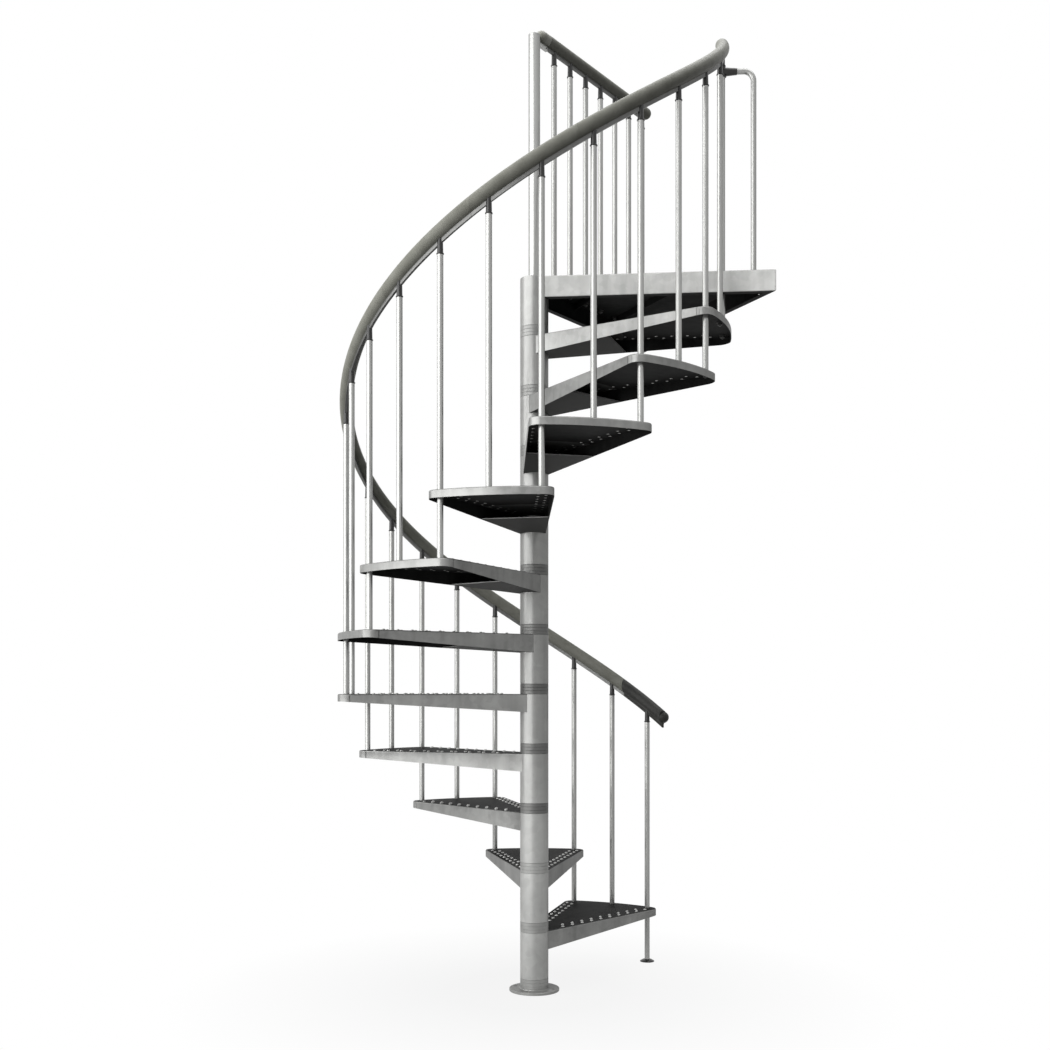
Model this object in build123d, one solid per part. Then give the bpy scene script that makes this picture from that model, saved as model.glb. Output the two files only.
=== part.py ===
"""Spiral staircase in galvanised steel: eleven tray treads stacked on a centre tube,
a corner landing, a round handrail with upright balusters and a short landing rail.

Frame: Z up, origin at the centre of the base flange's underside, +X straight out
through the middle of the landing. The stair climbs anticlockwise seen from above.
Lengths are in millimetres and angles in degrees."""

from build123d import *
from math import atan2, cos, degrees, hypot, radians, sin
import os

# ---- driving dimensions -------------------------------------------------------
RISER = 213.0
TREAD_COUNT = 11
TREAD_ANGLE = 28.0
LANDING_ANGLE = 60.0
LANDING_HOLE_ANGLE = 29.4
STAIR_RADIUS = 700.0
EDGE_OVERHANG = 40.0
SHEET = 3.0
HUB_RADIUS = 50.8
FIT = 0.3
BAR_SIDES = 10
POLE_SIDES = 18
PLATE_SIDES = 36

TREAD_DEPTH_AT_HUB = 66.0
TREAD_DEPTH_AT_RIM = 26.0
CORNER_RADIUS = 38.0
CLOSING_PLATE_REACH = 310.0

SPACER_HEIGHT = 36.0
FLANGE_RADIUS = 90.0
FLANGE_THICKNESS = 10.0
ANCHOR_COUNT = 4
ANCHOR_CIRCLE = 71.0
ANCHOR_HOLE_RADIUS = 5.5

LANDING_EDGE = 721.0
LANDING_DEPTH = 77.0
LANDING_LIP = 25.0
LANDING_RIB = 25.0
LANDING_RIB_SHARES = (0.36, 0.68)
WALL_HOLE_RADIUS = 6.0
WALL_HOLE_SPACING = 716.0
WALL_HOLE_BELOW_TOP = 65.0

BALUSTER_CIRCLE = 670.0
BALUSTER_RADIUS = 10.0
BALUSTER_BELOW_RAIL = 73.0
FOOT_DISC_RADIUS = 28.0
FOOT_DISC_HEIGHT = 9.0
FOOT_TAPER = 60.0
FOOT_SIDES = 24

RAIL_RADIUS = 23.0
RAIL_ABOVE_NOSE = 812.0
RAIL_SIDES = 10
RAIL_START_STEP = -0.5
RAIL_FIRST_JOINT = 0.66
RAIL_END_STEP = 22.1
RAIL_JOINT_GAP = 0.003
STRIP_WIDTH = 9.0
STRIP_BOTTOM = 34.0
STRIP_INSET = 4.0
STRIP_PROUD = 16.0
DOME_STEPS = (0, 30, 55, 75)
FITTING_SIDES = 6
FITTING_FOOT_RADIUS = 10.0
FITTING_TAPER = 1.6
FITTING_SKIRT_RADIUS = 12.0
FITTING_SKIRT_HEIGHT = 4.0
BODY_HEIGHT = 30.0
FORK_WIDTH = 16.0
FORK_LENGTH = 16.0
FORK_DEPTH = 24.0
FORK_GAP = 0.6

LANDING_RAIL_HEIGHT = 889.0
LANDING_RAIL_START = 46.0
LANDING_RAIL_END = 802.0
LANDING_STRIP_END = 790.0
POST_RADIUS = 21.0
POST_BELOW_RAIL = 9.0
TAB_DEPTH = 17.0
TAB_REACH = 78.0
LANDING_BALUSTER_COUNT = 7
LANDING_BALUSTER_FIRST = 128.0
LANDING_BALUSTER_PITCH = 107.7

CLOSING_TUBE_HEIGHT = 720.0
CLOSING_TUBE_REACH = 780.0
CLOSING_TUBE_BEND = 36.0
SLEEVE_RADIUS = 12.5
SLEEVE_HEIGHT = 37.0
SLEEVE_RING_RADIUS = 14.5
SLEEVE_RING_HEIGHT = 4.0
SOCKET_RADIUS = 15.5
SOCKET_TAPER = 4.4
SOCKET_REACH = 52.0

# ---- values that follow --------------------------------------------------------
BALUSTER_STEP = TREAD_ANGLE / 2
LAST_STEP = 2 * TREAD_COUNT
FIRST_ANGLE = 360 - LANDING_HOLE_ANGLE - TREAD_COUNT * TREAD_ANGLE
LANDING_TOP = RISER * (TREAD_COUNT + 1)
LANDING_SIDE = LANDING_ANGLE / 2
RAIL_UNDERSIDE = RAIL_RADIUS * cos(radians(180 / RAIL_SIDES))
LANDING_RAIL_Z = LANDING_TOP + LANDING_RAIL_HEIGHT
POST_TOP = LANDING_RAIL_Z - POST_BELOW_RAIL


# ---- helpers ------------------------------------------------------------------
def polar(radius, angle, height=0.0):
    """Point at a radius and an angle about the centre tube."""
    return Vector(radius * cos(radians(angle)), radius * sin(radians(angle)), height)


def disc(radius, bottom, top):
    """Upright cylinder on the Z axis between two heights."""
    return Pos(0, 0, bottom) * extrude(Circle(radius), top - bottom)


def bar(radius, bottom, top):
    """Upright slim bar between two heights, with flats in place of a full round."""
    return Pos(0, 0, bottom) * extrude(RegularPolygon(radius, BAR_SIDES), top - bottom)


def outlying(radius, angle, shape):
    """The shape moved out from the Z axis and turned about it."""
    return Rot(0, 0, angle) * Pos(radius, 0, 0) * shape


def step_angle(step):
    """Angle of a baluster place. Step 0 is the first baluster, two steps make a tread."""
    return FIRST_ANGLE + BALUSTER_STEP * step


def tread_middle(number):
    """Angle of the middle line of a tread. The landing counts as the one after the last."""
    return step_angle(2 * number - 1) if number <= TREAD_COUNT else 0


def nose_line(step):
    """Height of the line through the treads' front edges at a baluster place."""
    return RISER * (step / 2 + 1)


def rail_point(step):
    """Centre of the stair handrail above a baluster place."""
    return polar(BALUSTER_CIRCLE, step_angle(step), nose_line(step) + RAIL_ABOVE_NOSE)


def wedge(half_angle, overhang, reach):
    """Flat wedge about +X. Its sides lie outside the two radial lines by the overhang."""
    corners = []
    for side in (-1, 1):
        along = polar(1, side * half_angle)
        near = Vector(-along.Y, along.X) * side * overhang
        corners.append((near, near + along * reach))
    (near_right, far_right), (near_left, far_left) = corners
    return make_face(Polyline(near_right, far_right, far_left, near_left, close=True))


# ---- base and pole -------------------------------------------------------------
def base_flange():
    """Round floor plate with its anchor holes."""
    plate = extrude(RegularPolygon(FLANGE_RADIUS, PLATE_SIDES), FLANGE_THICKNESS)
    for index in range(ANCHOR_COUNT):
        hole = disc(ANCHOR_HOLE_RADIUS, 0, FLANGE_THICKNESS)
        plate -= outlying(ANCHOR_CIRCLE, 45 + index * 360 / ANCHOR_COUNT, hole)
    return plate


def pole_piece(bottom, top):
    """Length of the pole between two heights, with flats in place of a full round."""
    return Pos(0, 0, bottom) * extrude(RegularPolygon(HUB_RADIUS, POLE_SIDES), top - bottom)


def stack_levels():
    """Heights at which a spacer ring stands: on the flange and on every hub but the last."""
    return [FLANGE_THICKNESS] + [RISER * number for number in range(1, TREAD_COUNT + 1)]


def spacer_rings():
    """Rings of the pole, one under each hub."""
    return Compound(children=[pole_piece(level, level + SPACER_HEIGHT) for level in stack_levels()])


def pole_hubs():
    """Hubs of the pole. The top of each is level with the tread or landing that it carries."""
    hubs = []
    for number, level in enumerate(stack_levels(), start=1):
        hub = pole_piece(level + SPACER_HEIGHT, RISER * number)
        hubs.append(Rot(0, 0, tread_middle(number)) * hub)
    return Compound(children=hubs)


def landing_post():
    """Post of the landing rail, which stands on the last hub."""
    return Pos(0, 0, LANDING_TOP) * extrude(RegularPolygon(POST_RADIUS, POLE_SIDES), POST_TOP - LANDING_TOP)


# ---- treads --------------------------------------------------------------------
def tray_outline(inset):
    """Plan of a tread about +X, drawn in from its edge by the inset."""
    plan = wedge(TREAD_ANGLE / 2, EDGE_OVERHANG - inset, 2 * STAIR_RADIUS)
    plan &= Circle(STAIR_RADIUS - inset)
    outer = plan.vertices().sort_by(Axis.X)[-2:]
    return fillet(outer, CORNER_RADIUS - inset)


def under_tray(thickness):
    """Prism below the sloping underside of the flanges, raised by a sheet thickness."""
    inner = (0, thickness - TREAD_DEPTH_AT_HUB)
    outer = (STAIR_RADIUS - CORNER_RADIUS, thickness - TREAD_DEPTH_AT_RIM)
    edge = (2 * STAIR_RADIUS, thickness - TREAD_DEPTH_AT_RIM)
    floor = -2 * TREAD_DEPTH_AT_HUB
    section = make_face(Polyline(inner, outer, edge, (edge[0], floor), (0, floor), close=True))
    return extrude(Plane.XZ * section, STAIR_RADIUS, both=True)


def tread_tray():
    """Folded tray: top, tapering side flanges, rim band and the closing plate at the hub."""
    block = extrude(tray_outline(0), -TREAD_DEPTH_AT_HUB) - under_tray(0)
    pocket = Pos(0, 0, -SHEET) * extrude(tray_outline(SHEET), -TREAD_DEPTH_AT_HUB)
    closed_end = Box(2 * CLOSING_PLATE_REACH, STAIR_RADIUS, 2 * TREAD_DEPTH_AT_HUB)
    pocket -= closed_end & under_tray(SHEET)
    hole = bar(BALUSTER_RADIUS + FIT, -TREAD_DEPTH_AT_HUB, 0)
    tray = block - pocket - outlying(BALUSTER_CIRCLE, -TREAD_ANGLE / 2, hole)
    return tray - pole_piece(-TREAD_DEPTH_AT_HUB, 0)


def tread(number):
    """One tread, its top face at the height of its riser."""
    return Pos(0, 0, RISER * number) * Rot(0, 0, tread_middle(number)) * tread_tray()


# ---- landing -------------------------------------------------------------------
def landing_outline(inset):
    """Three-sided plan of the landing, drawn in from its edge by the inset."""
    limit = LANDING_EDGE - inset
    strip = Pos((limit - HUB_RADIUS) / 2, 0) * Rectangle(limit + HUB_RADIUS, 3 * STAIR_RADIUS)
    return wedge(LANDING_SIDE, EDGE_OVERHANG - inset, 3 * STAIR_RADIUS) & strip


def landing_rib(distance):
    """Flat stiffener across the underside of the landing."""
    rib = Pos(distance, 0, -SHEET - LANDING_RIB / 2) * Box(SHEET, 3 * STAIR_RADIUS, LANDING_RIB)
    return rib & extrude(landing_outline(SHEET), -LANDING_DEPTH)


def wall_hole(side):
    """Bolt hole through the flange that stands against the upper floor."""
    centre = (LANDING_EDGE, side * WALL_HOLE_SPACING / 2, -WALL_HOLE_BELOW_TOP)
    return extrude(Plane(origin=centre, z_dir=(1, 0, 0)) * Circle(WALL_HOLE_RADIUS), SHEET, both=True)


def landing():
    """Landing tray with deep folded edges, return lips, two stiffeners and its bolt holes."""
    tray = extrude(landing_outline(0), -LANDING_DEPTH)
    inside = extrude(landing_outline(SHEET), -LANDING_DEPTH + 2 * SHEET)
    mouth = extrude(landing_outline(LANDING_LIP), -LANDING_DEPTH)
    tray -= Pos(0, 0, -SHEET) * (inside + mouth)
    for share in LANDING_RIB_SHARES:
        tray += landing_rib(LANDING_EDGE * share)
    hole = bar(BALUSTER_RADIUS + FIT, -LANDING_DEPTH, 0)
    tray -= outlying(BALUSTER_CIRCLE, -LANDING_HOLE_ANGLE, hole)
    for side in (-1, 1):
        tray -= wall_hole(side)
    return Pos(0, 0, LANDING_TOP) * (tray - pole_piece(-LANDING_DEPTH, 0))


# ---- handrail ------------------------------------------------------------------
def strip_section():
    """Flat strip that runs under the round rail."""
    depth = STRIP_BOTTOM - RAIL_RADIUS + STRIP_INSET
    return Pos(0, depth / 2 - STRIP_BOTTOM) * Rectangle(STRIP_WIDTH, depth)


def round_section(radius):
    """Round rail, with flats in place of a full round and an edge straight up."""
    return RegularPolygon(radius, RAIL_SIDES, rotation=90)


def rail_section():
    """Round rail with the flat strip under it."""
    return round_section(RAIL_RADIUS) + strip_section()


def rail_spans():
    """First and last place of each length of the handrail."""
    joints = [RAIL_START_STEP] + [RAIL_FIRST_JOINT + 2 * number for number in range(TREAD_COUNT)]
    ends = [joint - RAIL_JOINT_GAP for joint in joints[1:]] + [RAIL_END_STEP]
    return list(zip(joints, ends))


def rail_arc(start, end):
    """Arc in a tilted plane that follows the helix between two places."""
    return ThreePointArc(rail_point(start), rail_point((start + end) / 2), rail_point(end))


def arc_normal(arc):
    """Upward normal of the plane of a climbing arc."""
    return (arc % 0).cross(arc % 1).normalized()


def rail_frame(arc, at):
    """Plane across the rail with its Y axis upwards."""
    tangent = arc % at
    return Plane(origin=arc @ at, x_dir=arc_normal(arc).cross(tangent), z_dir=tangent)


def rail_length(start, end):
    """One bent length of the handrail."""
    arc = rail_arc(start, end)
    axis = Axis(arc.arc_center, arc_normal(arc))
    turn = (arc % 0).get_angle(arc % 1)
    return revolve(rail_frame(arc, 0) * rail_section(), axis, turn)


def handrail_lengths(first):
    """Every second length of the handrail, counted from the first."""
    return Compound(children=[rail_length(start, end) for start, end in rail_spans()[first::2]])


def dome(frame):
    """Rounded end of a rail in three steps. The frame's Z axis points out of the rail."""
    end = None
    for low, high in zip(DOME_STEPS, DOME_STEPS[1:]):
        start_radius = RAIL_RADIUS * cos(radians(low))
        reach = RAIL_RADIUS * (sin(radians(high)) - sin(radians(low)))
        shrink = start_radius - RAIL_RADIUS * cos(radians(high))
        lean = degrees(atan2(shrink * cos(radians(180 / RAIL_SIDES)), reach))
        level = frame.offset(RAIL_RADIUS * sin(radians(low)))
        layer = extrude(level * round_section(start_radius), reach, taper=lean)
        end = end + layer if end else layer
    return end


def strip_end(frame):
    """Square end of the strip, which stands out under a dome."""
    return extrude(frame * strip_section(), STRIP_PROUD)


def flipped(frame):
    """The same frame with its Z axis reversed and its Y axis kept."""
    return Plane(origin=frame.origin, x_dir=-frame.x_dir, z_dir=-frame.z_dir)


def handrail_end(frame):
    """Dome and strip end in one."""
    return dome(frame) + strip_end(frame)


def handrail_end_caps():
    """Ends of the stair handrail."""
    spans = rail_spans()
    lower = flipped(rail_frame(rail_arc(*spans[0]), 0))
    upper = rail_frame(rail_arc(*spans[-1]), 1)
    return Compound(children=[handrail_end(lower), handrail_end(upper)])


# ---- balusters -----------------------------------------------------------------
def baluster_at(radius, angle, bottom, top):
    """Baluster that stands between two heights."""
    return outlying(radius, angle, bar(BALUSTER_RADIUS, bottom, top))


def baluster_top(step):
    """Height at which a stair baluster ends in its fitting."""
    return rail_point(step).Z - BALUSTER_BELOW_RAIL


def stair_baluster(step, bottom):
    """Baluster that ends under the stair handrail."""
    return baluster_at(BALUSTER_CIRCLE, step_angle(step), bottom, baluster_top(step))


def tapered(radius, reach, taper):
    """Slim bar along +Z that narrows by the taper angle, with flats in place of a round."""
    return extrude(RegularPolygon(radius, FITTING_SIDES), reach, taper=taper)


def under_rail(section):
    """Plane along the underside of a rail, with its origin straight below the rail's centre."""
    slope = section.z_dir.Z / hypot(section.z_dir.X, section.z_dir.Y)
    origin = section.origin - (section.y_dir + section.z_dir * slope) * RAIL_UNDERSIDE
    return Plane(origin=origin, x_dir=section.x_dir, z_dir=section.y_dir)


def fitting(radius, angle, bottom, section):
    """Fitting between a baluster and a rail: a tapered body with a skirt, and a fork that
    holds the strip. The section plane lies across the rail with Y upwards."""
    foot = outlying(radius, angle, Pos(0, 0, bottom) * Rot(0, 0, 180 / FITTING_SIDES))
    top = under_rail(section)
    body = foot * tapered(FITTING_FOOT_RADIUS, BODY_HEIGHT, FITTING_TAPER)
    body += extrude(top * Rectangle(FORK_WIDTH, FORK_LENGTH), FORK_DEPTH, dir=(0, 0, -1))
    slot = Rectangle(STRIP_WIDTH + 2 * FORK_GAP, 4 * FORK_LENGTH)
    body -= extrude(top.offset(RAIL_UNDERSIDE - STRIP_BOTTOM) * slot, FORK_DEPTH)
    return body + foot * extrude(RegularPolygon(FITTING_SKIRT_RADIUS, FITTING_SIDES), FITTING_SKIRT_HEIGHT)


def stair_fitting(step):
    """Forked fitting under the stair handrail."""
    start, end = next(span for span in rail_spans() if span[0] <= step <= span[1])
    section = rail_frame(rail_arc(start, end), (step - start) / (end - start))
    return fitting(BALUSTER_CIRCLE, step_angle(step), baluster_top(step), section)


def first_baluster():
    """Baluster of the first tread, which runs down to its foot."""
    return stair_baluster(0, FOOT_DISC_HEIGHT)


def baluster_foot():
    """Low tapered foot under the first baluster."""
    rim = FOOT_DISC_HEIGHT / 3
    plan = RegularPolygon(FOOT_DISC_RADIUS, FOOT_SIDES)
    base = extrude(plan, rim)
    cone = extrude(Pos(0, 0, rim) * plan, FOOT_DISC_HEIGHT - rim, taper=FOOT_TAPER)
    return outlying(BALUSTER_CIRCLE, step_angle(0), base + cone)


def joining_balusters():
    """Balusters that tie the front of each tread to the back of the one below."""
    steps = range(2, LAST_STEP + 1, 2)
    return Compound(children=[stair_baluster(step, RISER * step / 2) for step in steps])


def middle_balusters():
    """Balusters that stand at mid-rim on each tread."""
    steps = range(1, LAST_STEP, 2)
    return Compound(children=[stair_baluster(step, RISER * (step + 1) / 2) for step in steps])


def stair_fittings():
    """Fittings of all the stair balusters."""
    return Compound(children=[stair_fitting(step) for step in range(LAST_STEP + 1)])


# ---- landing rail --------------------------------------------------------------
def landing_rail_frame(radius):
    """Plane across the landing rail, with Y upwards and Z away from the post."""
    outward = polar(1, LANDING_SIDE)
    origin = polar(radius, LANDING_SIDE, LANDING_RAIL_Z)
    return Plane(origin=origin, x_dir=Vector(0, 0, 1).cross(outward), z_dir=outward)


def landing_rail():
    """Straight rail along the side of the landing, domed at both ends, with its strip."""
    near = landing_rail_frame(LANDING_RAIL_START)
    far = landing_rail_frame(LANDING_RAIL_END)
    rail = extrude(near * round_section(RAIL_RADIUS), LANDING_RAIL_END - LANDING_RAIL_START)
    strip = extrude(landing_rail_frame(TAB_REACH) * strip_section(), LANDING_STRIP_END - TAB_REACH)
    return rail + strip + dome(flipped(near)) + dome(far)


def rail_bracket():
    """Upright tab that carries the near end of the landing rail on the post."""
    profile = Pos(0, -RAIL_RADIUS - TAB_DEPTH / 2) * Rectangle(STRIP_WIDTH, TAB_DEPTH)
    return extrude(landing_rail_frame(0) * profile, TAB_REACH) - landing_post()


def landing_baluster_radii():
    """Distances of the landing balusters from the centre."""
    places = range(LANDING_BALUSTER_COUNT)
    return [LANDING_BALUSTER_FIRST + LANDING_BALUSTER_PITCH * place for place in places]


def landing_balusters():
    """Row of balusters under the landing rail."""
    top = LANDING_RAIL_Z - BALUSTER_BELOW_RAIL
    radii = landing_baluster_radii()
    return Compound(children=[baluster_at(radius, LANDING_SIDE, LANDING_TOP, top) for radius in radii])


def landing_fitting(radius):
    """Forked fitting under the landing rail."""
    bottom = LANDING_RAIL_Z - BALUSTER_BELOW_RAIL
    return fitting(radius, LANDING_SIDE, bottom, landing_rail_frame(radius))


def landing_fittings():
    """Fittings of the landing balusters."""
    return Compound(children=[landing_fitting(radius) for radius in landing_baluster_radii()])


# ---- closing tube --------------------------------------------------------------
def closing_sleeve():
    """Tee on the last baluster that holds the near end of the closing tube in its socket."""
    height = LANDING_TOP + CLOSING_TUBE_HEIGHT
    bottom = height - SLEEVE_HEIGHT / 2
    tee = bar(SLEEVE_RADIUS, bottom, height + SLEEVE_HEIGHT / 2)
    tee += bar(SLEEVE_RING_RADIUS, bottom, bottom + SLEEVE_RING_HEIGHT)
    outward = Plane(origin=(0, 0, height), x_dir=(0, 0, 1), z_dir=(1, 0, 0))
    tee += outward * tapered(SOCKET_RADIUS, SOCKET_REACH, SOCKET_TAPER)
    tee -= bar(BALUSTER_RADIUS, height - SLEEVE_HEIGHT, height + SLEEVE_HEIGHT)
    return outlying(BALUSTER_CIRCLE, -LANDING_HOLE_ANGLE, tee)


def closing_tube():
    """Tube from the tee out and down to the landing, which closes the gap to the wall."""
    height = LANDING_TOP + CLOSING_TUBE_HEIGHT
    start = polar(BALUSTER_CIRCLE + SOCKET_REACH, -LANDING_HOLE_ANGLE, height)
    corner = polar(CLOSING_TUBE_REACH, -LANDING_HOLE_ANGLE, height)
    foot = polar(CLOSING_TUBE_REACH, -LANDING_HOLE_ANGLE, LANDING_TOP)
    route = FilletPolyline(start, corner, foot, radius=CLOSING_TUBE_BEND)
    mouth = Plane(origin=start, x_dir=(0, 0, 1), z_dir=polar(1, -LANDING_HOLE_ANGLE))
    return sweep(mouth * RegularPolygon(BALUSTER_RADIUS, BAR_SIDES), path=route)


NODES = {
    "base_flange": base_flange,
    "spacer_rings": spacer_rings,
    "pole_hubs": pole_hubs,
    "landing": landing,
    "landing_post": landing_post,
    "handrail_lengths_a": lambda: handrail_lengths(0),
    "handrail_lengths_b": lambda: handrail_lengths(1),
    "handrail_end_caps": handrail_end_caps,
    "first_baluster": first_baluster,
    "baluster_foot": baluster_foot,
    "joining_balusters": joining_balusters,
    "middle_balusters": middle_balusters,
    "stair_fittings": stair_fittings,
    "landing_rail": landing_rail,
    "rail_bracket": rail_bracket,
    "landing_balusters": landing_balusters,
    "landing_fittings": landing_fittings,
    "closing_sleeve": closing_sleeve,
    "closing_tube": closing_tube,
}
for tread_number in range(1, TREAD_COUNT + 1):
    NODES[f"tread_{tread_number:02d}"] = lambda number=tread_number: tread(number)

os.makedirs("parts", exist_ok=True)
for node_name, build in NODES.items():
    export_step(build(), f"parts/{node_name}.step")
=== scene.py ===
"""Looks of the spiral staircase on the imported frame: galvanised pole, trays and tubes, a satin
grey handrail and a white studio. Lengths are in metres and angles in degrees.

Z is up, the origin is under the middle of the base flange and +X runs through the middle of
the landing. Nothing moves, so every piece rides on the one fixed body."""
import bmesh
import bpy
from math import atan2, ceil, cos, degrees, pi, radians, sin, sqrt
from mathutils import Matrix, Vector

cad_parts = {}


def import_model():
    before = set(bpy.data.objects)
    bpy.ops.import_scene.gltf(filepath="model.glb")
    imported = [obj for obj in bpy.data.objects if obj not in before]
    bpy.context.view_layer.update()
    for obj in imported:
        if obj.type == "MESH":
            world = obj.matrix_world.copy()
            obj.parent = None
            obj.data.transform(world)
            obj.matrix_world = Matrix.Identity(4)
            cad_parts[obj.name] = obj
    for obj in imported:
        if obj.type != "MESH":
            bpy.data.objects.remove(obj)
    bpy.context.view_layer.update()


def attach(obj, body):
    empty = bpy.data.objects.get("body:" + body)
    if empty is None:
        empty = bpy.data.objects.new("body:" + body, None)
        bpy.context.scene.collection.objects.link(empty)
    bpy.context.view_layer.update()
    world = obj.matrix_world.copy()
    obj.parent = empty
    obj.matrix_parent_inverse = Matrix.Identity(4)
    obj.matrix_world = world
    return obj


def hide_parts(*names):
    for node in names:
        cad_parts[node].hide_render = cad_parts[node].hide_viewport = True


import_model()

# ---- sizes of the stair ---------------------------------------------------------
RISER = 0.213
TREAD_COUNT = 11
TREAD_ANGLE = 28.0
LANDING_ANGLE = 60.0
LANDING_HOLE_ANGLE = 29.4
STAIR_RADIUS = 0.700
EDGE_OVERHANG = 0.040
SHEET = 0.003
BEND = 0.004

HUB_RADIUS = 0.0508
HUB_ROUNDING = 0.0012
SPACER_HEIGHT = 0.036
SPACER_RINGS = 3
RING_ROUNDING = 0.0008
FLANGE_RADIUS = 0.090
FLANGE_THICKNESS = 0.010
FLANGE_ROUNDING = 0.0015
ANCHOR_COUNT = 4
ANCHOR_CIRCLE = 0.071
ANCHOR_HOLE_RADIUS = 0.0055
WELD_WIDTH = 0.004
WELD_HEIGHT = 0.0036
WELD_BELLY = (0.0032, 0.0015)
WELD_IN_POLE = 0.002
WELD_IN_FLANGE = 0.001

TREAD_DEPTH_AT_HUB = 0.066
TREAD_DEPTH_AT_RIM = 0.026
CORNER_RADIUS = 0.038
CLOSING_PLATE_REACH = 0.310
STUD_PITCH = 0.055
STUD_ROWS = (0.020, 0.045)
STUD_FIRST = 0.134
STUDS_IN_ROW = 10
STUD_CUTTER_RADIUS = 0.0055
SEAM_ALONG = 0.656
SEAM_WIDTH = 0.0014
SEAM_CUT = 0.003
SEAM_HEIGHT = 0.060
SEAM_MIDDLE = -0.028

LANDING_EDGE = 0.721
LANDING_DEPTH = 0.077
LANDING_LIP = 0.025
LANDING_RIB = 0.025
LANDING_RIB_SHARES = (0.36, 0.68)
RIB_UNCUT = 3.0
WALL_HOLE_RADIUS = 0.006
WALL_HOLE_SPACING = 0.716
WALL_HOLE_BELOW_TOP = 0.065

BALUSTER_CIRCLE = 0.670
BALUSTER_RADIUS = 0.010
BALUSTER_BELOW_RAIL = 0.073
FOOT_DISC_RADIUS = 0.028
FOOT_DISC_TOP = 0.0175
FOOT_DISC_HEIGHT = 0.009
WASHER_RADIUS = 0.012
WASHER_HEIGHT = 0.002
NUT_RADIUS = 0.0096
NUT_HEIGHT = 0.0075
NUT_CHAMFER = 0.0012
THREAD_RADIUS = 0.0049
THREAD_PROUD = 0.003
THREAD_IN_NUT = 0.0005
THREAD_CHAMFER = 0.0008

RAIL_RADIUS = 0.023
RAIL_ABOVE_NOSE = 0.812
RAIL_START_STEP = -0.5
RAIL_FIRST_JOINT = 0.66
RAIL_END_STEP = 22.1
RAIL_JOINT_GAP = 0.003
DOME_IN_RAIL = 0.002
STRIP_WIDTH = 0.009
STRIP_TOP = 0.019
STRIP_BOTTOM = 0.034
STRIP_PROUD = 0.016
STRIP_END_ROUNDING = 0.0008
FITTING_FOOT_RADIUS = 0.0098
FITTING_TOP_RADIUS = 0.0084
FITTING_SKIRT_RADIUS = 0.012
FITTING_SKIRT_HEIGHT = 0.004
FITTING_NECK = 0.0004
FITTING_IN_RAIL = 0.0015

LANDING_RAIL_HEIGHT = 0.889
LANDING_RAIL_START = 0.046
LANDING_RAIL_SEAM = 0.080
LANDING_SEAM_GAP = 0.0008
LANDING_RAIL_END = 0.802
LANDING_STRIP_END = 0.790
LANDING_BALUSTER_COUNT = 7
LANDING_BALUSTER_FIRST = 0.128
LANDING_BALUSTER_PITCH = 0.1077
POST_RADIUS = 0.021
POST_BELOW_RAIL = 0.009
POST_ROUNDING = 0.002
TAB_DEPTH = 0.017
TAB_REACH = 0.078
TAB_IN_POST = 0.004
SCREW_ALONG = 0.070
SCREW_RADIUS = 0.0032
SCREW_PROUD = 0.0012

CLOSING_TUBE_HEIGHT = 0.720
CLOSING_TUBE_REACH = 0.780
CLOSING_TUBE_BEND = 0.036
CLOSING_TUBE_IN_SOCKET = 0.010
SLEEVE_RADIUS = 0.0125
SLEEVE_HEIGHT = 0.037
SLEEVE_ROUNDING = 0.0015
SLEEVE_RING_RADIUS = 0.0145
SLEEVE_RING_HEIGHT = 0.004
SOCKET_RADIUS = 0.0155
SOCKET_END_RADIUS = 0.0115
SOCKET_REACH = 0.052

# ---- fineness of the meshes -----------------------------------------------------
POLE_SIDES = 64
POST_SIDES = 40
RAIL_SIDES = 28
BAR_SIDES = 24
FITTING_SIDES = 20
SCREW_SIDES = 16
STUD_SIDES = 12
NUT_SIDES = 6
HUB_ARC_STEPS = 18
RIM_STEPS = 20
CORNER_STEPS = 8
BEND_STEPS = 3
TUBE_BEND_STEPS = 10
DOME_STEP = 10
HELIX_STEP = 1.8
ROUNDING = 0.001
SMALL_ROUNDING = 0.0006
SHEET_ROUNDING = 0.0004
CUTTER_ROUNDING = 0.0001
CUTTER_REACH = 0.010
CREASE = 34
SAME_POINT = 1e-6
ARC_CLOSURE = 1e-5
ON_HUB = 1e-4

# ---- sizes that follow ----------------------------------------------------------
BALUSTER_STEP = TREAD_ANGLE / 2
LAST_STEP = 2 * TREAD_COUNT
FIRST_ANGLE = 360 - LANDING_HOLE_ANGLE - TREAD_COUNT * TREAD_ANGLE
RAIL_SLOPE = degrees(atan2(RISER, radians(TREAD_ANGLE) * BALUSTER_CIRCLE))
RAIL_STRETCH = 1 / cos(radians(RAIL_SLOPE))
STRIP_DEPTH = STRIP_BOTTOM - STRIP_TOP
STRIP_MIDDLE = -(STRIP_TOP + STRIP_BOTTOM) / 2
LANDING_TOP = RISER * (TREAD_COUNT + 1)
LANDING_SIDE = LANDING_ANGLE / 2
LANDING_RAIL_Z = LANDING_TOP + LANDING_RAIL_HEIGHT
POST_TOP = LANDING_RAIL_Z - POST_BELOW_RAIL
CLOSING_TUBE_Z = LANDING_TOP + CLOSING_TUBE_HEIGHT


# ---- places ---------------------------------------------------------------------
def turn(angle, axis="Z"):
    """Rotation about an axis through the origin."""
    return Matrix.Rotation(radians(angle), 4, axis)


def shift(x, y, z):
    """Move along the three axes."""
    return Matrix.Translation((x, y, z))


def polar(radius, angle, height=0.0):
    """Place at a radius and an angle about the pole, its X axis turned outwards."""
    return turn(angle) @ shift(radius, 0, height)


def step_angle(step):
    """Angle of a baluster place. Two steps make a tread."""
    return FIRST_ANGLE + BALUSTER_STEP * step


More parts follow.
